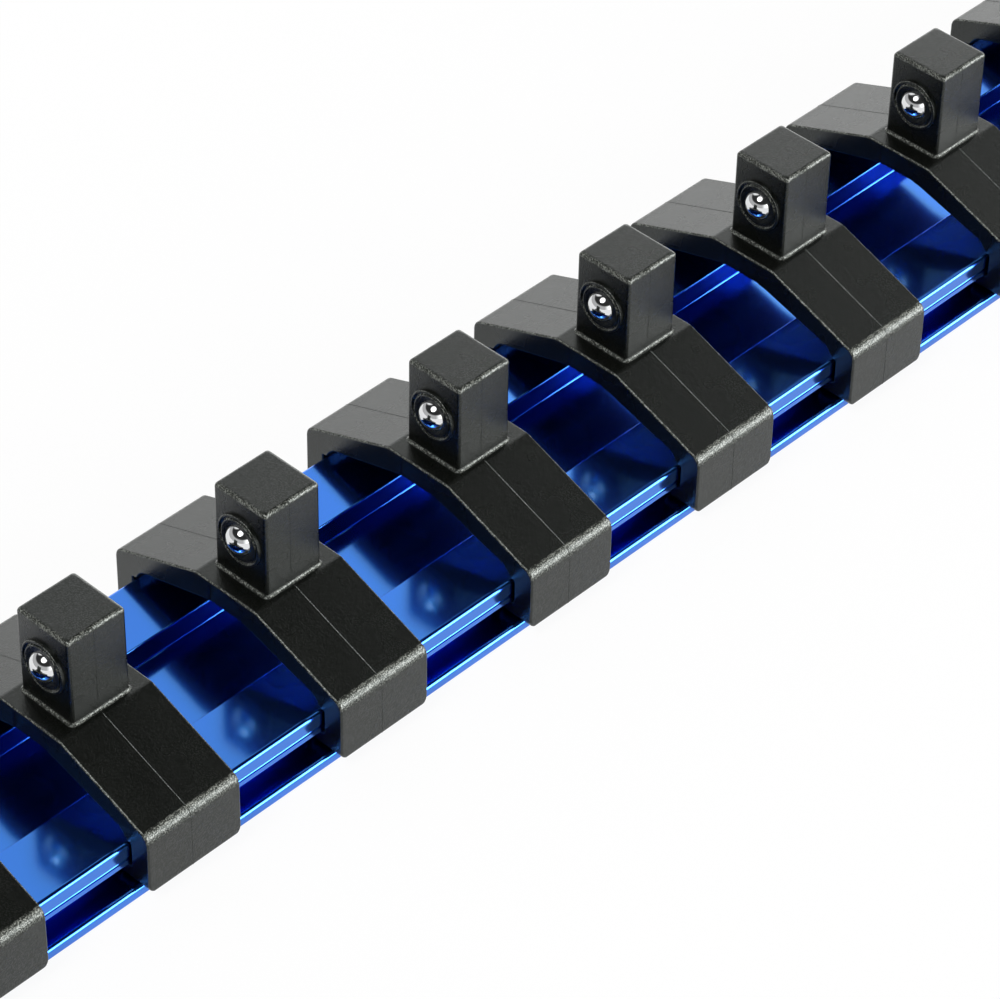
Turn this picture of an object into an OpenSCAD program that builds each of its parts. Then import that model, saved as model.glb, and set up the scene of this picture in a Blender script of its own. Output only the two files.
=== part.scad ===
// Socket rail: an extruded aluminium rail that carries a row of sliding clips.
// Each clip is one plastic moulding: a bridge that wraps round both edges of the rail, and a
// square drive post on top. A sprung steel ball in the post holds one socket.
// X runs along the rail, Y across it and Z up. The origin is the centre of the underside.

/* [Row of clips] */
// How many clips the rail carries
clip_count = 12; // [4:1:16]
// Even spacing of the clips
clip_pitch = 32.5; // [28:0.5:48]
// Rail left over past the last clip's space, at each end
rail_spare = 6; // [2:1:20]

/* [Rail] */
// Height of the rail
rail_h = 8.05; // [7.4:0.05:10]
// Width over the two tracks that the clips slide on
track_w = 33.9; // [32:0.1:40]
// Width over the base flanges
base_w = 36.75; // [35.5:0.05:44]
// Thickness of the base
base_t = 1.65; // [1.2:0.05:2]
// Height of the lip that hangs from each track's outer edge
lip_h = 3.4; // [3:0.05:3.8]
// Width of the channel between the tracks
channel_w = 14.55; // [12:0.05:16]
// Depth of the channel
channel_depth = 3.25; // [2:0.05:3.7]
// Thickness of the extrusion's walls
rail_wall = 1.45; // [1:0.05:1.7]
// Radius on the outer edges of the tracks and the base
rail_edge_r = 0.5; // [0.2:0.05:0.6]
// Width of the fine groove along each lip
groove_w = 0.5; // [0.3:0.05:0.8]
// Height of that groove below the top of the rail
groove_drop = 1.9; // [1.2:0.1:2.3]

/* [Clip] */
// Length of a clip along the rail
clip_len = 14.75; // [13:0.05:20]
// Thickness of the side walls
clip_wall = 3.1; // [2:0.05:4]
// Width of the flat crown that the post stands on
crown_w = 10.6; // [10:0.1:16]
// Thickness of the roof under the crown
roof_t = 3.45; // [3:0.05:5]
// Open height between the rail and the roof, at the middle
arch_h = 5.15; // [4:0.05:8]
// Width of the arch's flat middle, under the crown
arch_flat_w = 6.9; // [5:0.1:9.6]
// Width of the pads beside the walls that ride on the tracks
pad_w = 0.6; // [0.4:0.1:1.5]
// Width of the steep haunches where the arch comes down to the pads
haunch_w = 1.1; // [0.8:0.05:1.6]
// Height of the haunches
haunch_h = 1.5; // [1.2:0.05:2]
// How far from their corners the haunches start to curve
haunch_ease = 0.65; // [0.2:0.05:1]
// How far from its edges the arch's flat middle starts to curve
arch_ease = 1.4; // [0.5:0.1:2.4]
// Height of the shoulder, where roof and wall would meet, above the rail
shoulder_h = 2.9; // [2.4:0.05:4]
// Radius on the shoulder
shoulder_r = 1.7; // [0.5:0.1:2.4]
// How far from its edges the crown starts to curve down into the roof slopes
crown_ease = 0.35; // [0.1:0.05:0.6]
// How far each hook reaches in under the rail's lip
hook_reach = 2.5; // [1.5:0.1:3]
// Radius on the lower corners of the walls, seen from the side
foot_r = 1.35; // [0.4:0.05:2]
// Radius on the upright edges of the walls
wall_edge_r = 0.5; // [0.2:0.1:1]
// Width of the bare recess for a size mark, on the end face below the crown
mark_w = 6; // [4:0.2:8]
// Height of that recess
mark_h = 2.8; // [2:0.1:3]
// Depth of that recess
mark_depth = 0.25; // [0.1:0.05:0.5]

/* [Drive post] */
// Width of the square post
post_w = 9.1; // [8.6:0.05:9.3]
// Height of the post above the crown
post_h = 13.3; // [11.5:0.05:16]
// Radius on the post's top edges
post_top_r = 0.5; // [0.3:0.05:1.5]
// Radius on the post's upright edges
post_edge_r = 0.45; // [0.2:0.05:0.8]
// Size of the small slope round the foot of the post
post_foot = 0.4; // [0.2:0.1:0.8]

/* [Ball catch] */
// Diameter of the ball
ball_d = 4.4; // [4:0.1:4.8]
// Height of the ball's centre above the crown
ball_up = 6.8; // [6:0.1:8]
// Diameter of the round rim that is swaged over the ball
rim_d = 7.3; // [7:0.1:8]
// Height of the rim above the face of the post
rim_h = 0.4; // [0.35:0.05:0.6]
// Width of the rim's plain outer ring
rim_ring_w = 0.3; // [0.2:0.05:0.5]
// Width of the fine groove inside that ring
rim_groove_w = 0.35; // [0.3:0.05:0.5]
// Depth of that groove
rim_groove_d = 0.3; // [0.1:0.05:0.3]
// Width of the flat land between that groove and the dish round the ball
rim_land_w = 0.2; // [0.1:0.05:0.4]
// Depth of the dish
dish_depth = 0.1; // [0.05:0.05:0.3]
// Depth of the mouth that the dish runs down to
mouth_depth = 0.1; // [0.05:0.05:0.3]
// How far the mouth closes in over the ball, all round
rim_hold = 0.1; // [0.05:0.05:0.3]
// Thickness of solid plastic behind the spring
bore_floor = 1.4; // [1:0.1:2]
// Diameter of the spring's wire
wire_d = 0.45; // [0.3:0.05:0.5]
// Turns in the spring
spring_turns = 5; // [4:1:6]

/* [End caps] */
// Thickness of an end cap's plate
cap_t = 3; // [2:0.5:6]
// How far the plate stands out past the rail, at the sides and the top
cap_rim = 0.4; // [0:0.1:1]
// Radius on the plate's two upper corners
cap_corner_r = 2; // [0.5:0.5:3]
// Length of the pegs that plug into the rail
peg_len = 9; // [5:0.5:20]

/* [Clearances] */
// Gap at each side, between a clip's wall and the rail
side_gap = 0.25; // [0.1:0.05:0.5]
// Gap above and below the track, between clip and rail
slide_gap = 0.12; // [0.08:0.02:0.3]
// Gap between a clip's feet and the base flange
foot_gap = 0.1; // [0.05:0.05:0.6]
// Gap between the tip of a hook and the rail's web
hook_gap = 0.8; // [0.3:0.05:1.2]
// Gap round the ball in its bore
ball_gap = 0.1; // [0.05:0.01:0.15]
// Gap between the ball and the rim or the spring that it rests against
seat_gap = 0.03; // [0.02:0.01:0.05]
// Gap round the spring in its bore
spring_gap = 0.2; // [0.1:0.05:0.3]
// Gap between the turns at the spring's closed ends
turn_gap = 0.07; // [0.05:0.01:0.15]
// Gap round an end cap's pegs
peg_gap = 0.05; // [0.02:0.01:0.1]

/* [Hidden] */
// How far each clip has been pushed along from even spacing, as on a rail in use
CLIP_SHIFT = [1.15, -0.55, 3.15, 1.05, 0, 0.65, -0.85, -2.7, -2.85, 1.65, 0.4, -0.95];
$fn = 48;

rail_len = clip_count * clip_pitch + 2 * rail_spare;
channel_floor = rail_h - channel_depth;
track_under = rail_h - rail_wall;
lip_bottom = rail_h - lip_h;
lip_in = track_w / 2 - rail_wall;

wall_in = track_w / 2 + side_gap;
wall_out = wall_in + clip_wall;
hook_in = wall_in - hook_reach;
hook_top = lip_bottom - slide_gap;
web_out = hook_in - hook_gap;
web_in = web_out - rail_wall;
cell_in = channel_w / 2 + rail_wall;

foot_z = base_t + foot_gap;
track_seat = rail_h + slide_gap;
arch_top = rail_h + arch_h;
crown_z = arch_top + roof_t;
shoulder_z = rail_h + shoulder_h;
arch_foot = wall_in - pad_w;
haunch = [arch_foot - haunch_w, track_seat + haunch_h];
arch_edge = [arch_flat_w / 2, arch_top];

ball_z = crown_z + ball_up;
rim_front = -post_w / 2 - rim_h;
groove_out_r = rim_d / 2 - rim_ring_w;
groove_in_r = groove_out_r - rim_groove_w;
dish_r = groove_in_r - rim_land_w;
mouth_r = ball_d / 2 - rim_hold;
mouth_front = rim_front + dish_depth;
rim_back = mouth_front + mouth_depth;
// The ball rests against the mouth's inner edge
ball_x = rim_back + sqrt(pow(ball_d / 2 + seat_gap, 2) - pow(mouth_r, 2));
bore_r = ball_d / 2 + ball_gap;
bore_end = post_w / 2 - bore_floor;

// The spring's first turn rests on the back of the ball and its last on the bore's floor
coil_r = bore_r - spring_gap - wire_d / 2;
spring_start = ball_x + sqrt(pow((ball_d + wire_d) / 2 + seat_gap, 2) - pow(coil_r, 2));
spring_end = bore_end - wire_d / 2 - seat_gap;
closed_pitch = wire_d + turn_gap;
RINGS_PER_TURN = 8;
WIRE_SIDES = 6;
EASE_STEPS = 4;
// A small overlap, so that pieces of one solid run into each other
BITE = 0.5;

function numbered(name, i) = str(name, "_", i < 10 ? "0" : "", i);
function clip_x(i) = (i - (clip_count + 1) / 2) * clip_pitch + CLIP_SHIFT[(i - 1) % len(CLIP_SHIFT)];
function unit(v) = v / norm(v);
// A list of [y, z] points on the +Y side, followed by their mirror images in reverse order
function both_sides(half) =
    concat(half, [for (i = [len(half) - 1 : -1 : 0]) [-half[i].x, half[i].y]]);
// A curve that cuts off a shallow corner, from reach before it to reach past it
function eased(before, corner, after, reach) =
    let (a = corner + unit(before - corner) * reach, b = corner + unit(after - corner) * reach)
    [for (k = [0 : EASE_STEPS])
        let (t = k / EASE_STEPS) pow(1 - t, 2) * a + 2 * t * (1 - t) * corner + t * t * b];
function both_radii(half) = concat(half, [for (i = [len(half) - 1 : -1 : 0]) half[i]]);

// Extrudes a [y, z] section along X, and an [x, z] outline along Y, about the origin
module extrude_x(length) rotate([90, 0, 90]) linear_extrude(length, center = true) children();
module extrude_y(length) rotate([90, 0, 0]) linear_extrude(length, center = true) children();

// The sliver between a sharp convex corner and its rounding
module corner_sliver(before, corner, after, r) {
    u = unit(before - corner);
    v = unit(after - corner);
    half_angle = acos(u * v) / 2;
    centre = corner + unit(u + v) * r / sin(half_angle);
    reach = r / tan(half_angle);
    difference() {
        polygon([corner - unit(u + v) * BITE, corner + u * reach, centre, corner + v * reach]);
        translate(centre) circle(r);
    }
}

// A polygon whose convex corners are rounded, each by its own radius, or left sharp at 0
module rounded_outline(points, radii) {
    n = len(points);
    difference() {
        polygon(points);
        for (i = [0 : n - 1])
            if (radii[i] > 0)
                corner_sliver(points[(i + n - 1) % n], points[i], points[(i + 1) % n], radii[i]);
    }
}

module rounded_rect(size, r) {
    x = size.x / 2;
    y = size.y / 2;
    rounded_outline([[x, -y], [x, y], [-x, y], [-x, -y]], [r, r, r, r]);
}

// ---- Rail ----

module rail_outline() {
    half = [
        [base_w / 2, 0],
        [base_w / 2, base_t],
        [web_out, base_t],
        [web_out, track_under],
        [lip_in, track_under],
        [lip_in, lip_bottom],
        [track_w / 2, lip_bottom],
        [track_w / 2, rail_h],
        [channel_w / 2, rail_h],
        [channel_w / 2, channel_floor]];
    fine = rail_edge_r / 2;
    rounded_outline(both_sides(half), both_radii([fine, rail_edge_r, 0, 0, 0, fine, fine, rail_edge_r, 0, 0]));
}

// The closed cell between channel and web on the +Y side, that an end cap's peg fills
module side_cell(gap) {
    translate([cell_in + gap, base_t + gap])
        square([web_in - cell_in - 2 * gap, track_under - base_t - 2 * gap]);
}

module rail() color("#1c4fb4") extrude_x(rail_len) difference() {
    rail_outline();
    for (side = [0, 1]) mirror([side, 0]) {
        side_cell(0);
        translate([track_w / 2, rail_h - groove_drop]) circle(d = groove_w);
    }
    translate([-channel_w / 2, base_t]) square([channel_w, channel_floor - rail_wall - base_t]);
}

// ---- End caps ----

// An end cap that closes the rail's +X end
module end_cap() color("#232422") {
    translate([(rail_len + cap_t) / 2, 0, 0]) extrude_x(cap_t) {
        side = base_w / 2 + cap_rim;
        top = rail_h + cap_rim;
        rounded_outline([[side, 0], [side, top], [-side, top], [-side, 0]],
            [rail_edge_r, cap_corner_r, cap_corner_r, rail_edge_r]);
    }
    for (side = [0, 1]) mirror([0, side, 0])
        translate([(rail_len - peg_len + BITE) / 2, 0, 0]) extrude_x(peg_len + BITE) side_cell(peg_gap);
}

// ---- Clip ----

module clip_section() difference() {
    rounded_outline(
        both_sides([
            [wall_out, foot_z],
            [wall_out, shoulder_z],
            each eased([wall_out, shoulder_z], [crown_w / 2, crown_z], [0, crown_z], crown_ease)]),
        both_radii([wall_edge_r, shoulder_r, for (k = [0 : EASE_STEPS]) 0]));
    // The space that the clip bends round: the arch over the rail, the track and its lip
    polygon(both_sides([
        [hook_in, foot_z - BITE],
        [hook_in, hook_top],
        [wall_in, hook_top],
        [wall_in, track_seat],
        [arch_foot, track_seat],
        each eased([arch_foot, track_seat], haunch, arch_edge, haunch_ease),
        each eased(haunch, arch_edge, [0, arch_top], arch_ease)]));
}

module bridge() intersection() {
    extrude_x(clip_len) clip_section();
    linear_extrude(crown_z + BITE) rounded_rect([clip_len, 2 * wall_out], wall_edge_r);
    extrude_y(2 * (wall_out + BITE)) translate([0, (foot_z + crown_z) / 2]) {
        x = clip_len / 2;
        z = (crown_z - foot_z) / 2;
        rounded_outline([[x, -z], [x, z], [-x, z], [-x, -z]], [foot_r, 0, 0, foot_r]);
    }
}

// One pair of the post's faces, with the rounding of the top edge
module post_side_view() {
    x = post_w / 2;
    foot = crown_z - BITE;
    top = crown_z + post_h;
    rounded_outline([[x, foot], [x, top], [-x, top], [-x, foot]], [0, post_top_r, post_top_r, 0]);
}

module drive_post() {
    intersection() {
        translate([0, 0, crown_z - BITE])
            linear_extrude(post_h + 2 * BITE) rounded_rect([post_w, post_w], post_edge_r);
        extrude_y(2 * post_w) post_side_view();
        rotate([0, 0, 90]) extrude_y(2 * post_w) post_side_view();
    }
    // The small slope round its foot
    let ($fn = 24) hull() {
        translate([0, 0, crown_z - post_foot]) linear_extrude(post_foot)
            rounded_rect([post_w + 2 * post_foot, post_w + 2 * post_foot], post_edge_r + post_foot);
        translate([0, 0, crown_z]) linear_extrude(post_foot) rounded_rect([post_w, post_w], post_edge_r);
    }
}

// Lays a shape that is drawn along Z on the ball's axis, running inwards from x
module on_ball_axis(x) translate([x, 0, ball_z]) rotate([0, 90, 0]) children();

// The rim round the ball: a raised ring with a fine groove, dished down to the mouth
module ball_rim() on_ball_axis(rim_front) difference() {
    cylinder(r = rim_d / 2, h = rim_h + BITE);
    translate([0, 0, -BITE]) difference() {
        cylinder(r = groove_out_r, h = BITE + rim_groove_d);
        translate([0, 0, -BITE]) cylinder(r = groove_in_r, h = 2 * BITE + rim_h);
    }
}

module ball_bore() {
    on_ball_axis(rim_back) cylinder(r = bore_r, h = bore_end - rim_back);
    on_ball_axis(mouth_front - BITE) cylinder(r = mouth_r, h = 2 * BITE);
    on_ball_axis(rim_front) cylinder(r1 = dish_r, r2 = mouth_r, h = dish_depth);
}

module clip() color("#2c2d2b") difference() {
    union() {
        bridge();
        drive_post();
        ball_rim();
    }
    ball_bore();
    // The bare recess, open to the arch below
    translate([-clip_len / 2 - BITE, -mark_w / 2, arch_top - BITE])
        cube([mark_depth + BITE, mark_w, mark_h + BITE]);
}

// ---- Ball and spring ----

module ball() color("#d8dadc") translate([ball_x, 0, ball_z]) sphere(ball_d / 2);

// How far the wire has climbed after a number of turns: closed end turns, open ones between
function climb(turn) =
    let (open_pitch = (spring_end - spring_start - 2 * closed_pitch) / (spring_turns - 2))
    turn < 1 ? turn * closed_pitch
    : turn > spring_turns - 1 ? spring_end - spring_start - (spring_turns - turn) * closed_pitch
    : closed_pitch + (turn - 1) * open_pitch;

module spring() color("#b9bcc0") {
    rings = spring_turns * RINGS_PER_TURN;
    points = [for (k = [0 : rings], s = [0 : WIRE_SIDES - 1])
        let (turn = k / RINGS_PER_TURN, round = 360 * s / WIRE_SIDES,
             out = coil_r + wire_d / 2 * cos(round))
        [spring_start + climb(turn) + wire_d / 2 * sin(round),
         out * cos(360 * turn), ball_z + out * sin(360 * turn)]];
    sides = [for (k = [0 : rings - 1], s = [0 : WIRE_SIDES - 1])
        let (a = k * WIRE_SIDES + s, b = k * WIRE_SIDES + (s + 1) % WIRE_SIDES)
        each [[a, b, b + WIRE_SIDES], [a, b + WIRE_SIDES, a + WIRE_SIDES]]];
    first_end = [for (s = [1 : WIRE_SIDES - 2]) [0, s + 1, s]];
    last_end = [for (s = [1 : WIRE_SIDES - 2]) [0, s, s + 1] + [1, 1, 1] * rings * WIRE_SIDES];
    polyhedron(points, concat(sides, first_end, last_end));
}

module at_clip(i) translate([clip_x(i), 0, 0]) children();

rail();
mirror([1, 0, 0]) end_cap();  // end_cap_left
end_cap();  // end_cap_right
for (i = [1 : clip_count]) {
    at_clip(i) clip();
    at_clip(i) ball();
    at_clip(i) spring();
}
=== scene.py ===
# A rail that holds sockets in a drawer: a blue anodised extrusion, twelve black clips that slide on
# it, and a sprung ball in the drive post of each clip. The sizes in a section are in millimetres,
# and what comes from the frame is in metres.
from math import atan2, cos, pi, radians, sin, sqrt, tan

import bmesh
import bpy
from mathutils import Matrix, Vector


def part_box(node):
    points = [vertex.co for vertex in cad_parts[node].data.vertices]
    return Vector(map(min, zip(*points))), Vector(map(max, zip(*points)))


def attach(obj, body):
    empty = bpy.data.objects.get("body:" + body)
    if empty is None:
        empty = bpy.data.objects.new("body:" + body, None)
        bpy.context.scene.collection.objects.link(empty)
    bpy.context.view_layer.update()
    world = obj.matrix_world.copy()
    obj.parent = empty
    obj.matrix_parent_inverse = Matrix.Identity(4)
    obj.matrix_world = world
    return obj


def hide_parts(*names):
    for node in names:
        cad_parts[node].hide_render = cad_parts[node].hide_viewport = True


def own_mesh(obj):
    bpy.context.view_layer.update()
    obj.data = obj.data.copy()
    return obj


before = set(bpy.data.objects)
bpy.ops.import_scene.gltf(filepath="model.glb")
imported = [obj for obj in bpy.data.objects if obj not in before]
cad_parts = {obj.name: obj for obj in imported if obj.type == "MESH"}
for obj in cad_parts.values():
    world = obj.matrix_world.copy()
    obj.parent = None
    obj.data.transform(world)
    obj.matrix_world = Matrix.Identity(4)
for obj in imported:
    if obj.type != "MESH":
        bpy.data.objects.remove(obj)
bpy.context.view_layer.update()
MM = 0.001

# ---- Camera ----
# It stands ahead of the row's left end and above it. Its long lens keeps the rail's edges almost
# parallel, and it leans a little to one side.
CAMERA_PLACE = Vector((-309.05, -284.26, 365.47))
CAMERA_AZIMUTH = radians(-46.682)
CAMERA_ELEVATION = radians(41.291)
CAMERA_LEAN = radians(1.21)
CAMERA_LENS = 152.24
CAMERA_SENSOR = 36

camera = bpy.data.objects.new("camera", bpy.data.cameras.new("camera"))
camera.data.sensor_width = CAMERA_SENSOR
camera.data.lens = CAMERA_LENS
camera.data.clip_start = 0.01
camera.matrix_world = (Matrix.Translation(CAMERA_PLACE * MM)
                       @ Matrix.Rotation(CAMERA_AZIMUTH, 4, "Z")
                       @ Matrix.Rotation(pi / 2 - CAMERA_ELEVATION, 4, "X")
                       @ Matrix.Rotation(CAMERA_LEAN, 4, "Z"))
bpy.context.scene.collection.objects.link(camera)
bpy.context.scene.camera = camera


# ---- Rail ----
# One length of extruded aluminium: two tracks with hanging lips, a channel between them and three
# closed cells below. It was bright dipped, which leaves a mirror, and then anodised blue.
RAIL_TOP = 8.05
TRACK_W = 33.9
BASE_W = 36.75
BASE_T = 1.65
LIP_H = 3.4
CHANNEL_W = 14.55
CHANNEL_DEPTH = 3.25
RAIL_WALL = 1.45
WEB_OUT = 13.9
GROOVE_W = 0.5
GROOVE_DROP = 2.25
RAIL_EDGE_R = 0.62
DIE_EDGE_R = 0.22
ARC_STEPS = 8


def fillet(before, corner, after, r, steps=ARC_STEPS):
    """The points of a corner's rounding, from the side of the point before it to the side after it."""
    u = (before - corner).normalized()
    v = (after - corner).normalized()
    half = u.angle(v) / 2
    centre = corner + (u + v).normalized() * (r / sin(half))
    arm = corner + u * (r / tan(half)) - centre
    end = corner + v * (r / tan(half)) - centre
    turn = atan2(arm.x * end.y - arm.y * end.x, arm.dot(end))
    return [centre + Matrix.Rotation(turn * k / steps, 2) @ arm for k in range(steps + 1)]


def outline(corners, closed=True, steps=ARC_STEPS):
    """The points of an outline from its corners, each an x, a y and the radius that rounds it."""
    spots = [Vector(corner[:2]) for corner in corners]
    points = []
    for i, (_, _, r) in enumerate(corners):
        at_end = not closed and i in (0, len(corners) - 1)
        if r == 0 or at_end:
            points.append(spots[i])
        else:
            points += fillet(spots[i - 1], spots[i], spots[(i + 1) % len(spots)], r, steps)
    return points


def skin(mesh, rings):
    """Makes the vertices of each ring, and a band of quads between each ring and the next."""
    made = [[mesh.verts.new(point) for point in ring] for ring in rings]
    for near, far in zip(made, made[1:]):
        for i in range(len(near)):
            j = (i + 1) % len(near)
            mesh.faces.new((near[i], near[j], far[j], far[i]))
    return made


def fill(mesh, loops):
    """Closes the flat area between loops of vertices."""
    edges = [mesh.edges.get((loop[i - 1], loop[i])) for loop in loops for i in range(len(loop))]
    bmesh.ops.triangle_fill(mesh, use_beauty=True, edges=edges)


def solid(name, mesh, sharp=32):
    """A mesh in metres that faces outwards and is smooth but for edges over the sharp angle."""
    bmesh.ops.recalc_face_normals(mesh, faces=mesh.faces)
    bmesh.ops.scale(mesh, vec=(MM, MM, MM), verts=mesh.verts)
    data = bpy.data.meshes.new(name)
    mesh.to_mesh(data)
    mesh.free()
    data.shade_smooth()
    data.set_sharp_from_angle(angle=radians(sharp))
    return data


def worked(data, joined=(), cut=(), sharp=32):
    """Joins meshes to one and cuts others from it, and lets large flats keep their normals."""
    bench = bpy.data.objects.new(data.name, data)
    bpy.context.scene.collection.objects.link(bench)
    used = [bench]
    for tools, operation in ((joined, "UNION"), (cut, "DIFFERENCE")):
        for tool_data in tools:
            tool = bpy.data.objects.new("tool", tool_data)
            bpy.context.scene.collection.objects.link(tool)
            used.append(tool)
            step = bench.modifiers.new("step", "BOOLEAN")
            step.operation = operation
            step.solver = "EXACT"
            step.object = tool
    graph = bpy.context.evaluated_depsgraph_get()
    made = bpy.data.meshes.new_from_object(bench.evaluated_get(graph))
    made.shade_smooth()
    made.set_sharp_from_angle(angle=radians(sharp))
    bench.modifiers.clear()
    bench.data = made
    bench.modifiers.new("flats", "WEIGHTED_NORMAL").keep_sharp = True
    graph = bpy.context.evaluated_depsgraph_get()
    result = bpy.data.meshes.new_from_object(bench.evaluated_get(graph))
    for item in used:
        bpy.data.objects.remove(item)
    result.name = data.name
    return result


# The roundings that face up are painted pale, a painted highlight. The faces of a rounding turn by
# more than ROUND_TURN and less than SHARP_TURN, and no flat of more than LARGE_FLAT square millimetres
# is painted. The painted highlight grows as a rounding turns up, and ends where it meets a level top.
ROUND_TURN = radians(4)
SHARP_TURN = radians(50)
FLAT_TURN = radians(3)
LARGE_FLAT = 8.0
HIGHLIGHT_RISE = 1.5
HIGHLIGHT_FALL = 5


def painted_edge_highlight(data, lowest=0.0):
    """Marks how much painted highlight each point of a mesh takes: roundings that face up, and no large
    flat.
    """
    mesh = bmesh.new()
    mesh.from_mesh(data)
    seen, flat = set(), set()
    for first in mesh.faces:
        if first in seen:
            continue
        region, rest = [], [first]
        seen.add(first)
        while rest:
            face = rest.pop()
            region.append(face)
            for edge in face.edges:
                level = edge.calc_face_angle(0) < FLAT_TURN
                fresh = [near for near in edge.link_faces if level and near not in seen]
                seen.update(fresh)
                rest += fresh
        if sum(face.calc_area() for face in region) > LARGE_FLAT * MM ** 2:
            flat.update(region)
    share = []
    for vert in mesh.verts:
        turn = max(edge.calc_face_angle(0) for edge in vert.link_edges)
        on_flat = any(face in flat for face in vert.link_faces)
        up = max(0, vert.normal.z)
        is_round = ROUND_TURN < turn < SHARP_TURN and vert.co.z > lowest * MM and not on_flat
        share.append(min(1, HIGHLIGHT_RISE * up, HIGHLIGHT_FALL * (1 - up)) if is_round else 0)
    mesh.free()
    data.attributes.new("painted_edge_highlight", "FLOAT", "POINT").data.foreach_set("value", share)
    return data


def place(name, data, body, nodes, material, at=(0, 0, 0)):
    """Puts a piece of the object in the scene, on its body and in place of its CAD nodes."""
    piece = bpy.data.objects.new(name, data)
    bpy.context.scene.collection.objects.link(piece)
    piece.location = at
    if not data.materials:
        data.materials.append(material)
    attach(piece, body)
    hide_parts(*nodes)
    return piece


def add(tree, kind, inputs=(), **settings):
    """Adds a shader node with its settings. An input is a value, or the socket that feeds it."""
    made = tree.nodes.new("ShaderNode" + kind)
    for name, value in settings.items():
        setattr(made, name, value)
    for name, value in dict(inputs).items():
        if isinstance(value, bpy.types.NodeSocket):
            tree.links.new(value, made.inputs[name])
        else:
            made.inputs[name].default_value = value
    return made


def linear(hex_colour):
    """An sRGB hex colour, such as "#1c4fb4", as linear RGBA."""
    channels = [int(hex_colour[i:i + 2], 16) / 255 for i in (1, 3, 5)]
    return [c / 12.92 if c <= 0.04045 else ((c + 0.055) / 1.055) ** 2.4 for c in channels] + [1]


def new_material(name):
    """A material with an empty tree but for its output."""
    material = bpy.data.materials.new(name)
    material.use_nodes = True
    material.node_tree.nodes.clear()
    return material, material.node_tree, add(material.node_tree, "OutputMaterial")


# Anodised aluminium, bright dipped: a blurred mirror under a blue dye, painted pale where roundings
# face up, as a painted highlight. The pores that hold the dye scatter over a third of the light wider,
# in violet blue, and the sealed surface adds white highlights. The lines of the die run along the rail,
# drawn wide enough to show.
DIE_LINE_MM = 0.35
DIE_LINE_DEPTH = 0.02
DIE_LINE_STRETCH = 0.012
PORE_SHARE = 0.38
anodised, tree, out = new_material("bright_anodised_aluminium")
coords = add(tree, "TexCoord").outputs["Object"]
along = add(tree, "Mapping", {"Vector": coords, "Scale": (DIE_LINE_STRETCH, 1, 1)}).outputs["Vector"]
die_lines = add(tree, "TexNoise", {"Vector": along, "Scale": 1 / (DIE_LINE_MM * MM), "Detail": 2.0})
bump = add(tree, "Bump", {"Height": die_lines.outputs["Fac"], "Strength": 0.02,
                          "Distance": DIE_LINE_DEPTH * MM}).outputs["Normal"]
edge_highlight = add(tree, "Attribute", attribute_name="painted_edge_highlight").outputs["Fac"]
# The pale colour on roundings that face up is a painted highlight.
dye_and_highlight = add(tree, "Mix", {"Factor": edge_highlight, 6: linear("#0096cc"), 7: linear("#b4d6ee")},
          data_type="RGBA").outputs[2]
mirror = add(tree, "BsdfPrincipled", {
    "Base Color": dye_and_highlight, "Metallic": 1.0, "Roughness": 0.14, "Normal": bump,
    "Coat Weight": 1.0, "Coat Roughness": 0.1, "Coat IOR": 1.7})
scatter = add(tree, "BsdfPrincipled", {
    "Base Color": linear("#2c00fc"), "Metallic": 1.0, "Roughness": 0.2, "Normal": bump})
both = add(tree, "MixShader", {
    "Fac": PORE_SHARE, 1: mirror.outputs["BSDF"], 2: scatter.outputs["BSDF"]})
tree.links.new(both.outputs["Shader"], out.inputs["Surface"])

rail_low, rail_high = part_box("rail")


def rail_corners():
    """The corners of the rail's +Y half, from the underside up over the track to the channel."""
    zg = RAIL_TOP - GROOVE_DROP
    r = GROOVE_W / 2
    groove = [(TRACK_W / 2 - r * sin(a), zg - r * cos(a), 0) for a in (k * pi / 8 for k in range(9))]
    return [
        (BASE_W / 2, 0, RAIL_EDGE_R / 2),
        (BASE_W / 2, BASE_T, RAIL_EDGE_R),
        (WEB_OUT, BASE_T, DIE_EDGE_R),
        (WEB_OUT, RAIL_TOP - RAIL_WALL, DIE_EDGE_R),
        (TRACK_W / 2 - RAIL_WALL, RAIL_TOP - RAIL_WALL, DIE_EDGE_R),
        (TRACK_W / 2 - RAIL_WALL, RAIL_TOP - LIP_H, RAIL_EDGE_R / 2),
        (TRACK_W / 2, RAIL_TOP - LIP_H, RAIL_EDGE_R / 2),
        *groove,
        (TRACK_W / 2, RAIL_TOP, RAIL_EDGE_R),
        (CHANNEL_W / 2, RAIL_TOP, DIE_EDGE_R),
        (CHANNEL_W / 2, RAIL_TOP - CHANNEL_DEPTH, DIE_EDGE_R)]


def mirrored(corners):
    """Corners on the +Y side, then their mirror images in reverse order."""
    return corners + [(-y, z, r) for y, z, r in reversed(corners)]


def box_outline(y0, y1, z0, z1, r):
    """The points of a box's outline, whose corners share one radius."""
    return outline([(y1, z0, r), (y1, z1, r), (y0, z1, r), (y0, z0, r)])


cell_in = CHANNEL_W / 2 + RAIL_WALL
cell_out = WEB_OUT - RAIL_WALL
cell_top = RAIL_TOP - RAIL_WALL
rail_loops = [
    outline(mirrored(rail_corners())),
    box_outline(cell_in, cell_out, BASE_T, cell_top, DIE_EDGE_R),
    box_outline(-cell_out, -cell_in, BASE_T, cell_top, DIE_EDGE_R),
    box_outline(-CHANNEL_W / 2, CHANNEL_W / 2, BASE_T, RAIL_TOP - CHANNEL_DEPTH - RAIL_WALL, DIE_EDGE_R)]
mesh = bmesh.new()
ends = [[], []]
for loop in rail_loops:
    rings = skin(mesh, [[(x / MM, y, z) for y, z in loop] for x in (rail_low.x, rail_high.x)])
    ends[0].append(rings[0])
    ends[1].append(rings[1])
for end in ends:
    fill(mesh, end)
rail_data = painted_edge_highlight(worked(solid("extrusion", mesh)))
place("extrusion", rail_data, "rail_body", ["rail"], anodised)


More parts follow.
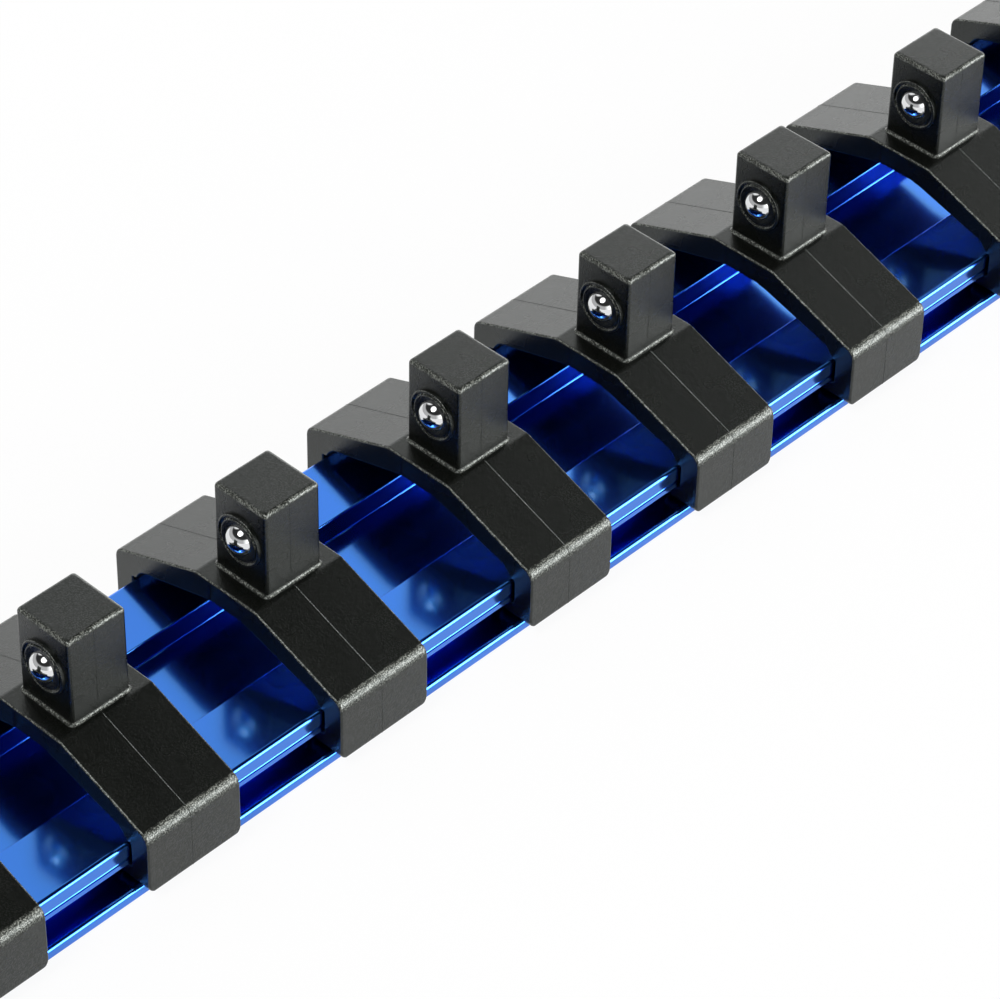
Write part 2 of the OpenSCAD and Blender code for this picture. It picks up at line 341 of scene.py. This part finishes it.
# ---- Clips ----
# Each is one moulding of black ABS: a bridge that wraps round both tracks, with a square drive post.
# The mould left a fine satin grain, a parting line across the middle and softly rounded edges.
CLIP_LEN = 14.75
CLIP_WALL = 3.1
SIDE_GAP = 0.25
SLIDE_GAP = 0.12
FOOT_Z = 1.75
CROWN_Z = 16.65
CROWN_W = 10.6
CROWN_R = 1.9
SHOULDER_Z = 10.95
SHOULDER_R = 1.7
WALL_EDGE_R = 0.5
FOOT_R = 1.35
HOOK_REACH = 2.5
HOOK_ROOT_R = 0.2
SEAT_R = 0.15
PAD_W = 0.6
ARCH_TOP = 13.2
ARCH_FLAT_W = 6.9
ARCH_R = 9.8
HAUNCH_W = 1.1
HAUNCH_H = 1.5
HAUNCH_R = 1.9
CLIP_EDGE_R = 0.28
SEAM_X = -0.48
SEAM_W = 0.05
SEAM_H = 0.035
POST_W = 9.1
POST_H = 13.3
POST_EDGE_R = 0.45
POST_TOP_R = 0.65
POST_FOOT_R = 0.5
BALL_UP = 6.8
RIM_R = 3.65
RIM_FOOT_R = 3.72
RIM_FOOT_H = 0.05
RIM_SINK = 1
RIM_H = 0.4
RIM_LIP_R = 0.1
RIM_RING_W = 0.3
RIM_GROOVE_W = 0.35
RIM_GROOVE_D = 0.3
RING_EDGE_R = 0.06
RING_FLOOR_R = 0.12
RIM_LAND_W = 0.2
DISH_DEPTH = 0.1
MOUTH_R = 2.1
MOUTH_DEPTH = 0.1
BORE_R = 2.3
BORE_FLOOR = 1.4
MARK_W = 6
MARK_H = 2.8
MARK_DEPTH = 0.25
MARK_CORNER_R = 0.3
MARK_FLARE = 0.35
# How far a body that is joined or cut reaches past the face that it meets
OVERLAP = 0.5

wall_in = TRACK_W / 2 + SIDE_GAP
wall_out = wall_in + CLIP_WALL
hook_in = wall_in - HOOK_REACH
hook_top = RAIL_TOP - LIP_H - SLIDE_GAP
track_seat = RAIL_TOP + SLIDE_GAP
arch_foot = wall_in - PAD_W
ball_z = CROWN_Z + BALL_UP

foot_levels = [FOOT_Z + WALL_EDGE_R * (1 - cos(k * pi / 12)) for k in range(7)]
foot_levels += [FOOT_Z + WALL_EDGE_R + (FOOT_R - WALL_EDGE_R) * k / 5 for k in range(1, 6)]


def clip_section():
    """The bridge's section as (y, z, is it on the outside), and how many points half its outside has."""
    outer = [(wall_out, FOOT_Z, 0), (wall_out, SHOULDER_Z, SHOULDER_R), (CROWN_W / 2, CROWN_Z, CROWN_R)]
    right = outline(outer + [(0, CROWN_Z, 0)], closed=False)[1:-1]
    foot = [(wall_out - WALL_EDGE_R + WALL_EDGE_R * sin(k * pi / 12), foot_levels[k]) for k in range(7)]
    foot += [(wall_out, level) for level in foot_levels[7:]]
    right = foot + [tuple(point) for point in right]
    inner = [(hook_in, hook_top, 0), (wall_in, hook_top, HOOK_ROOT_R),
             (wall_in, track_seat, SEAT_R), (arch_foot, track_seat, 0),
             (arch_foot - HAUNCH_W, track_seat + HAUNCH_H, HAUNCH_R),
             (ARCH_FLAT_W / 2, ARCH_TOP, ARCH_R), (0, ARCH_TOP, 0)]
    inside = [(hook_in, level) for level in foot_levels]
    inside += [tuple(point) for point in outline(inner, closed=False)[:-1]]
    half = [(y, z, True) for y, z in right]
    under = [(y, z, False) for y, z in inside]
    left = [(-y, z, True) for y, z, _ in reversed(half)]
    left_under = [(-y, z, False) for y, z, _ in under]
    return half + left + left_under + list(reversed(under)), len(half)


def offset(points, distances):
    """Moves each point of a closed outline inwards by its own distance, square to its two sides."""
    moved = []
    for i, point in enumerate(points):
        a = (point - points[i - 1]).normalized()
        b = (points[(i + 1) % len(points)] - point).normalized()
        inwards = Vector((-a.y, a.x)) + Vector((-b.y, b.x))
        moved.append(point + inwards * (distances[i] / (1 + a.dot(b))))
    return moved


def length_share(z):
    """The clip's length at a height as a share of its full length: its feet are rounded at both ends."""
    up = min(FOOT_R, max(0, FOOT_R - (z - FOOT_Z)))
    return 1 - (FOOT_R - sqrt(FOOT_R ** 2 - up ** 2)) / (CLIP_LEN / 2)


def edge_stations(half, r, steps=5):
    """Places along the rounding of one end, with how far the outline draws in at each."""
    angles = [k * pi / 2 / steps for k in range(steps + 1)]
    return [(half - r + r * sin(a), r * (1 - cos(a))) for a in angles]


section, half_count = clip_section()
points = [Vector(point[:2]) for point in section]
is_outer = [point[2] for point in section]
near_end = [(-x, inset) for x, inset in reversed(edge_stations(CLIP_LEN / 2, CLIP_EDGE_R))]
# The parting line is a low ridge, so it draws out where the rounded ends draw in
seam = [(SEAM_X - SEAM_W, 0), (SEAM_X, -SEAM_H), (SEAM_X + SEAM_W, 0)]
rings = []
for x, inset in near_end + seam + edge_stations(CLIP_LEN / 2, CLIP_EDGE_R):
    insets = [inset if inset > 0 or outer else 0 for outer in is_outer]
    drawn = offset(points, insets)
    rings.append([(x * length_share(point.y), moved.x, moved.y) for point, moved in zip(points, drawn)])
mesh = bmesh.new()
made = skin(mesh, rings)
levels = len(foot_levels)
count = len(points)
for ring in (made[0], made[-1]):
    # The feet, whose corners are rounded, are closed level by level, and the rest in one
    for outer, inner, step in ((0, count - 1, 1), (2 * half_count - 1, 2 * half_count, -1)):
        for k in range(levels - 1):
            a, b = outer + step * k, outer + step * (k + 1)
            c, d = inner - step * (k + 1), inner - step * k
            mesh.faces.new((ring[a], ring[b], ring[c], ring[d]))
    rest = ring[levels - 1:2 * half_count - levels + 1]
    rest += ring[2 * half_count + levels - 1:count - levels + 1]
    if mesh.edges.get((rest[0], rest[-1])) is None:
        mesh.edges.new((rest[0], rest[-1]))
    fill(mesh, [rest])
bridge = solid("bridge", mesh)


def square_ring(half, r, z, seam_out=0.0, steps=6):
    """A square with rounded corners at a height, with the parting line on its two Y faces."""
    corners = [(half, -half), (half, half), (-half, half), (-half, -half)]
    ring = []
    for i, corner in enumerate(corners):
        before, after = Vector(corners[i - 1]), Vector(corners[(i + 1) % 4])
        ring += [(p.x, p.y, z) for p in fillet(before, Vector(corner), after, r, steps)]
        if i in (1, 3):
            side = 1 if i == 1 else -1
            for along, raised in ((SEAM_W, 0), (0, seam_out), (-SEAM_W, 0)):
                ring.append((SEAM_X + side * along, side * (half + raised), z))
    return ring


# The post spreads in a hollow foot where it meets the crown, and its top edge is rounded. Its parting
# line runs between the two.
rings = [square_ring(POST_W / 2 + POST_FOOT_R, POST_EDGE_R + POST_FOOT_R, CROWN_Z - OVERLAP)]
for k in range(1, 7):
    a = k * pi / 12
    up = POST_FOOT_R * (1 - cos(a))
    spread = POST_FOOT_R * (1 - sin(a))
    rings.append(square_ring(POST_W / 2 + spread, POST_EDGE_R + spread, CROWN_Z + up, SEAM_H * (k > 5)))
for k in range(9):
    a = k * pi / 16
    up = POST_H - POST_TOP_R + POST_TOP_R * sin(a)
    inset = POST_TOP_R * (1 - cos(a))
    rings.append(square_ring(POST_W / 2 - inset, POST_EDGE_R, CROWN_Z + up, SEAM_H * (k < 8)))
mesh = bmesh.new()
made = skin(mesh, rings)
fill(mesh, [made[0]])
fill(mesh, [made[-1]])
post = solid("post", mesh)


def turned(name, profile, steps=96, sharp=32):
    """A solid of revolution on the ball's axis, from (x, radius) points that start and end on it."""
    mesh = bmesh.new()
    tips = [mesh.verts.new((x, 0, ball_z)) for x, _ in (profile[0], profile[-1])]
    rings = skin(mesh, [[(x, r * cos(2 * pi * k / steps), ball_z + r * sin(2 * pi * k / steps))
                         for k in range(steps)] for x, r in profile[1:-1]])
    for tip, ring in ((tips[0], rings[0]), (tips[1], rings[-1])):
        for k in range(steps):
            mesh.faces.new((tip, ring[k - 1], ring[k]))
    return solid(name, mesh, sharp)


face_x = -POST_W / 2
front = face_x - RIM_H
groove_out = RIM_R - RIM_RING_W
groove_in = groove_out - RIM_GROOVE_W
dish_r = groove_in - RIM_LAND_W
# The rim is swaged over the ball: an outer ring, a groove, and a land that dishes in to the mouth
rim_profile = [tuple(point) for point in outline([
    (face_x + RIM_SINK, 0, 0),
    (face_x + RIM_SINK, RIM_FOOT_R, 0),
    (face_x + RIM_FOOT_H, RIM_FOOT_R, 0),
    (front + RIM_LIP_R, RIM_R, RIM_LIP_R),
    (front, RIM_R, RIM_LIP_R),
    (front, groove_out, RING_EDGE_R),
    (front + RIM_GROOVE_D, groove_out - RING_EDGE_R, RING_FLOOR_R),
    (front + RIM_GROOVE_D, groove_in + RING_EDGE_R, RING_FLOOR_R),
    (front, groove_in, RING_EDGE_R),
    (front, 0, 0)], closed=False, steps=4)]
rim = turned("rim", rim_profile)
mouth_front = front + DISH_DEPTH
bore_profile = [
    (front - RIM_SINK, 0), (front - RIM_SINK, dish_r), (front, dish_r), (mouth_front, MOUTH_R),
    (mouth_front + MOUTH_DEPTH, MOUTH_R), (mouth_front + MOUTH_DEPTH, BORE_R),
    (POST_W / 2 - BORE_FLOOR, BORE_R), (POST_W / 2 - BORE_FLOOR, 0)]
bore = turned("bore", bore_profile)

# The recess for a mark opens into the arch below it
mark_bottom = ARCH_TOP - OVERLAP
mark_top = ARCH_TOP + MARK_H
mesh = bmesh.new()
rings = []
for x, spread in ((-CLIP_LEN / 2 - OVERLAP, MARK_FLARE), (-CLIP_LEN / 2 + MARK_DEPTH, 0)):
    half = MARK_W / 2 + spread
    rings.append([(x, y, z) for y, z in outline([
        (half, mark_bottom, 0), (half, mark_top + spread, MARK_CORNER_R + spread),
        (-half, mark_top + spread, MARK_CORNER_R + spread), (-half, mark_bottom, 0)])])
made = skin(mesh, rings)
fill(mesh, [made[0]])
fill(mesh, [made[1]])
mark = solid("mark", mesh)

# Black ABS, moulded: a satin grain that spreads each highlight, over a body that takes in most light.
# The tops of the grain shine more than its hollows, and on the roundings that face up they are painted
# pale, a painted highlight. The grain is drawn a little coarser than a real one, so that it shows.
GRAIN_MM = 0.2
GRAIN_DEPTH = 0.03
FLAT_SHARE = 0.012
PATCH_MM = 6
moulded, tree, out = new_material("moulded_black_abs")
coords = add(tree, "TexCoord").outputs["Object"]
grain = add(tree, "TexNoise", {"Vector": coords, "Scale": 1 / (GRAIN_MM * MM), "Detail": 1.0,
                               "Roughness": 0.5})
patches = add(tree, "TexNoise", {"Vector": coords, "Scale": 1 / (PATCH_MM * MM), "Detail": 2.0})
roughness = add(tree, "MapRange", {"Value": patches.outputs["Fac"], "From Min": 0.3, "From Max": 0.7,
                                   "To Min": 0.25, "To Max": 0.29})
bump = add(tree, "Bump", {"Height": grain.outputs["Fac"], "Strength": 1.0,
                          "Distance": GRAIN_DEPTH * MM})
edge_highlight = add(tree, "Attribute", attribute_name="painted_edge_highlight").outputs["Fac"]
tops = add(tree, "MapRange", {"Value": grain.outputs["Fac"], "From Min": 0.45, "From Max": 0.65,
                              "To Min": 0.08, "To Max": 1.0}).outputs["Result"]
highlight_or_grain = add(tree, "Math", {0: edge_highlight, 1: FLAT_SHARE}, operation="MAXIMUM").outputs[0]
pale = add(tree, "Math", {0: highlight_or_grain, 1: tops}, operation="MULTIPLY").outputs[0]
# The pale colour is a painted highlight on roundings that face up, and a faint paleness of the grain's
# tops everywhere.
colour = add(tree, "Mix", {"Factor": pale, 6: linear("#060705"), 7: linear("#8a8d86")},
             data_type="RGBA").outputs[2]
shine = add(tree, "Mix", {"Factor": tops, 6: linear("#c2cbc4"), 7: linear("#faffff")},
            data_type="RGBA").outputs[2]
body = add(tree, "BsdfPrincipled", {
    "Base Color": colour, "Roughness": roughness.outputs["Result"], "IOR": 1.52,
    "Specular IOR Level": 0.62, "Specular Tint": shine, "Normal": bump.outputs["Normal"]})
tree.links.new(body.outputs["BSDF"], out.inputs["Surface"])

clip_data = painted_edge_highlight(worked(bridge, joined=[post, rim], cut=[bore, mark]), lowest=RAIL_TOP)
clip_data.name = "moulded_clip"
clip_names = sorted(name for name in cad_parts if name.startswith("clip_"))
clip_places = {}
for name in clip_names:
    number = name[-2:]
    low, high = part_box(name)
    clip_places[number] = (low.x + high.x) / 2
    place("moulded_clip_" + number, clip_data, "clip_body_" + number, [name], moulded,
          (clip_places[number], 0, 0))


# ---- Balls ----
# Each is a polished steel ball, as bearings have. The rim holds it in, and it snaps into the dimple
# in the wall of the socket.
BALL_R = 2.2
SEAT_GAP = 0.03

ball_x = mouth_front + MOUTH_DEPTH + sqrt((BALL_R + SEAT_GAP) ** 2 - MOUTH_R ** 2)
ball_data = turned("steel_ball", [(ball_x - BALL_R * cos(k * pi / 32), BALL_R * sin(k * pi / 32))
                                  for k in range(33)], steps=64, sharp=60)

# Bearing steel, polished: a mirror with the faintest haze
HAZE_MM = 0.8
steel, tree, out = new_material("polished_bearing_steel")
coords = add(tree, "TexCoord").outputs["Object"]
haze = add(tree, "TexNoise", {"Vector": coords, "Scale": 1 / (HAZE_MM * MM), "Detail": 2.0})
roughness = add(tree, "MapRange", {"Value": haze.outputs["Fac"], "To Min": 0.02, "To Max": 0.06})
body = add(tree, "BsdfPrincipled", {"Base Color": linear("#e4e5e6"), "Metallic": 1.0,
                                    "Roughness": roughness.outputs["Result"]})
tree.links.new(body.outputs["BSDF"], out.inputs["Surface"])
for number, x in clip_places.items():
    place("steel_ball_" + number, ball_data, "ball_body_" + number, ["ball_" + number],
          steel, (x, 0, 0))


# ---- Springs ----
# Each is a coil of drawn spring wire with closed ends. It sits between the ball and the floor of the
# bore.
WIRE_D = 0.45
SPRING_TURNS = 5
SPRING_GAP = 0.2
TURN_GAP = 0.07
RINGS_PER_TURN = 20
WIRE_SIDES = 8

coil_r = BORE_R - SPRING_GAP - WIRE_D / 2
spring_start = ball_x + sqrt((BALL_R + WIRE_D / 2 + SEAT_GAP) ** 2 - coil_r ** 2)
spring_end = POST_W / 2 - BORE_FLOOR - WIRE_D / 2 - SEAT_GAP
closed_pitch = WIRE_D + TURN_GAP
open_pitch = (spring_end - spring_start - 2 * closed_pitch) / (SPRING_TURNS - 2)


def climb(turn):
    """How far the wire has climbed after a number of turns: closed end turns, open ones between."""
    last = SPRING_TURNS - 1
    return (min(turn, 1) * closed_pitch + min(max(turn - 1, 0), last - 1) * open_pitch
            + max(turn - last, 0) * closed_pitch)


def coil(shift):
    """The mesh of one spring, moved along X by shift."""
    mesh = bmesh.new()
    rings = []
    for k in range(SPRING_TURNS * RINGS_PER_TURN + 1):
        turn = k / RINGS_PER_TURN
        ring = []
        for s in range(WIRE_SIDES):
            a = 2 * pi * s / WIRE_SIDES
            reach = coil_r + WIRE_D / 2 * cos(a)
            ring.append((shift + spring_start + climb(turn) + WIRE_D / 2 * sin(a),
                         reach * cos(2 * pi * turn), ball_z + reach * sin(2 * pi * turn)))
        rings.append(ring)
    made = skin(mesh, rings)
    for ring in (made[0], made[-1]):
        mesh.faces.new(ring)
    return solid("coil_spring", mesh, sharp=50)


# Spring wire, drawn: a cool grey, with a fine unevenness that the drawing left
WIRE_MARK_MM = 0.12
wire, tree, out = new_material("drawn_spring_wire")
coords = add(tree, "TexCoord").outputs["Object"]
marks = add(tree, "TexNoise", {"Vector": coords, "Scale": 1 / (WIRE_MARK_MM * MM), "Detail": 2.0})
roughness = add(tree, "MapRange", {"Value": marks.outputs["Fac"], "To Min": 0.22, "To Max": 0.36})
body = add(tree, "BsdfPrincipled", {"Base Color": linear("#b9bcc0"), "Metallic": 1.0,
                                    "Roughness": roughness.outputs["Result"]})
tree.links.new(body.outputs["BSDF"], out.inputs["Surface"])
for number, x in clip_places.items():
    spring = place("coil_spring_" + number, coil(x / MM), "clip_body_" + number, ["spring_" + number],
                   wire)
    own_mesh(spring)


# ---- End caps ----
# Each is a black moulded plug. Two pegs push into the rail's side cells, and the plate outside them
# covers the sawn end and stops the last clip.
CAP_RIM = 0.4
CAP_CORNER_R = 2
CAP_EDGE_R = 0.6
CAP_EDGE_INSET = 0.45
CAP_BACK_BEVEL = 0.08
PEG_LEN = 9
PEG_GAP = 0.05
PEG_LEAD = 0.5
PEG_TAPER = 0.3
PEG_CORNER_R = 0.3


def end_plug(side):
    """The mesh of the cap at the rail's end, where side is -1 or 1."""
    near, far = rail_high.x / MM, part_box("end_cap_right")[1].x / MM
    half = BASE_W / 2 + CAP_RIM
    top = RAIL_TOP + CAP_RIM
    plate = outline([(half, 0, RAIL_EDGE_R), (half, top, CAP_CORNER_R), (-half, top, CAP_CORNER_R),
                     (-half, 0, RAIL_EDGE_R)])
    stations = [(near, CAP_BACK_BEVEL), (near + CAP_BACK_BEVEL, 0)]
    stations += [(far - CAP_EDGE_R + CAP_EDGE_R * sin(a), CAP_EDGE_INSET * (1 - cos(a)))
                 for a in (k * pi / 12 for k in range(7))]
    mesh = bmesh.new()
    rings = []
    for x, inset in stations:
        drawn = offset(plate, [inset] * len(plate))
        rings.append([(side * x, y, max(z, 0)) for y, z in drawn])
    made = skin(mesh, rings)
    fill(mesh, [made[0]])
    fill(mesh, [made[-1]])
    cap = solid("end_plug", mesh)
    pegs = []
    for across in (-1, 1):
        mesh = bmesh.new()
        inner = near - PEG_LEN
        rings = []
        for x, inset in ((near + OVERLAP, 0), (inner + PEG_LEAD, 0), (inner, PEG_TAPER)):
            y0, y1 = cell_in + PEG_GAP + inset, cell_out - PEG_GAP - inset
            z0, z1 = BASE_T + PEG_GAP + inset, cell_top - PEG_GAP - inset
            drawn = box_outline(y0, y1, z0, z1, PEG_CORNER_R)
            rings.append([(side * x, across * y, z) for y, z in drawn])
        made = skin(mesh, rings)
        fill(mesh, [made[0]])
        fill(mesh, [made[-1]])
        pegs.append(solid("peg", mesh))
    return painted_edge_highlight(worked(cap, joined=pegs))


for name, side in (("left", -1), ("right", 1)):
    place("end_plug_" + name, end_plug(side), "rail_body", ["end_cap_" + name], moulded)


# ---- Floor and studio light ----
# A pale studio: a white table, a bright band of white card round it and soft boxes above. The rail
# mirrors the dark between the card and the boxes.
# The table's size and drop are in metres. It glows a little where the camera or the rail sees it, so
# that it stays white in the render.
FLOOR_SIZE = 3.0
FLOOR_DROP = 0.00005
FLOOR_SEEN = 0.93
FLOOR_MIRRORED = 0.6

mesh = bmesh.new()
bmesh.ops.create_grid(mesh, x_segments=1, y_segments=1, size=FLOOR_SIZE)
bmesh.ops.translate(mesh, verts=mesh.verts, vec=(0, 0, -FLOOR_DROP))
floor_data = bpy.data.meshes.new("floor")
mesh.to_mesh(floor_data)
mesh.free()
floor = bpy.data.objects.new("floor", floor_data)
bpy.context.scene.collection.objects.link(floor)
table, tree, out = new_material("white_table")
body = add(tree, "BsdfPrincipled", {"Base Color": linear("#f4f4f4"), "Roughness": 0.7})
glow = add(tree, "Emission", {"Color": (1, 1, 1, 1), "Strength": 1.0})
ray = add(tree, "LightPath")
seen = add(tree, "Math", {0: ray.outputs["Is Camera Ray"], 1: FLOOR_SEEN},
           operation="MULTIPLY")
in_mirror = add(tree, "Math", {0: ray.outputs["Is Glossy Ray"], 1: FLOOR_MIRRORED},
                operation="MULTIPLY")
share = add(tree, "Math", {0: seen.outputs[0], 1: in_mirror.outputs[0]}, operation="MAXIMUM")
both = add(tree, "MixShader", {"Fac": share.outputs[0], 1: body.outputs["BSDF"], 2: glow.outputs[0]})
tree.links.new(both.outputs["Shader"], out.inputs["Surface"])
floor_data.materials.append(table)

# The card's strength on its dim and its bright side, its height in degrees and how softly it ends
HORIZON = (0.5, 2.4)
HORIZON_TOP = 24
HORIZON_EDGE = 4
# It brightens towards an azimuth, between two cosines of the angle from it
BRIGHT_SIDE = radians(-25)
BRIGHT_SPAN = (-0.35, 0.4)
DARK = 0.03
BOXES = (
    # azimuth from +X towards +Y, elevation, radius and softness of its edge in degrees, strength
    (72, 48, 22, 8, 0.92),
    (28, 31, 13, 5, 1.1),
    (-4, 42, 11, 3, 0.8),
    (188, 62, 17, 3, 1.6),
    (186, 56, 8, 3, 12.0),
    (-50, 15, 16, 5, 8.0))

world = bpy.data.worlds.new("studio")
bpy.context.scene.world = world
world.use_nodes = True
tree = world.node_tree
tree.nodes.clear()
look = add(tree, "TexCoord").outputs["Generated"]
height = add(tree, "SeparateXYZ", {"Vector": look}).outputs["Z"]
side = add(tree, "VectorMath", {0: look, 1: (cos(BRIGHT_SIDE), sin(BRIGHT_SIDE), 0)},
           operation="DOT_PRODUCT").outputs["Value"]
card = add(tree, "MapRange", {
    "Value": side, "From Min": BRIGHT_SPAN[0], "From Max": BRIGHT_SPAN[1],
    "To Min": HORIZON[0], "To Max": HORIZON[1]}).outputs["Result"]
light = add(tree, "MapRange", {
    "Value": height, "From Min": sin(radians(HORIZON_TOP - HORIZON_EDGE)),
    "From Max": sin(radians(HORIZON_TOP + HORIZON_EDGE)),
    "To Min": card, "To Max": DARK}, interpolation_type="SMOOTHSTEP").outputs["Result"]
for azimuth, elevation, radius, edge, strength in BOXES:
    a, e = radians(azimuth), radians(elevation)
    towards = (cos(a) * cos(e), sin(a) * cos(e), sin(e))
    facing = add(tree, "VectorMath", {0: look, 1: towards}, operation="DOT_PRODUCT").outputs["Value"]
    box = add(tree, "MapRange", {
        "Value": facing, "From Min": cos(radians(radius + edge)), "From Max": cos(radians(radius)),
        "To Min": 0.0, "To Max": strength}, interpolation_type="SMOOTHSTEP").outputs["Result"]
    light = add(tree, "Math", {0: light, 1: box}, operation="ADD").outputs[0]
ray = add(tree, "LightPath").outputs["Is Camera Ray"]
shown = add(tree, "Mix", {"Factor": ray, 2: light, 3: 1.0}).outputs["Result"]
background = add(tree, "Background", {"Color": (1, 1, 1, 1), "Strength": shown})
add(tree, "OutputWorld", {"Surface": background.outputs[0]})

bpy.context.scene.view_settings.view_transform = "Standard"
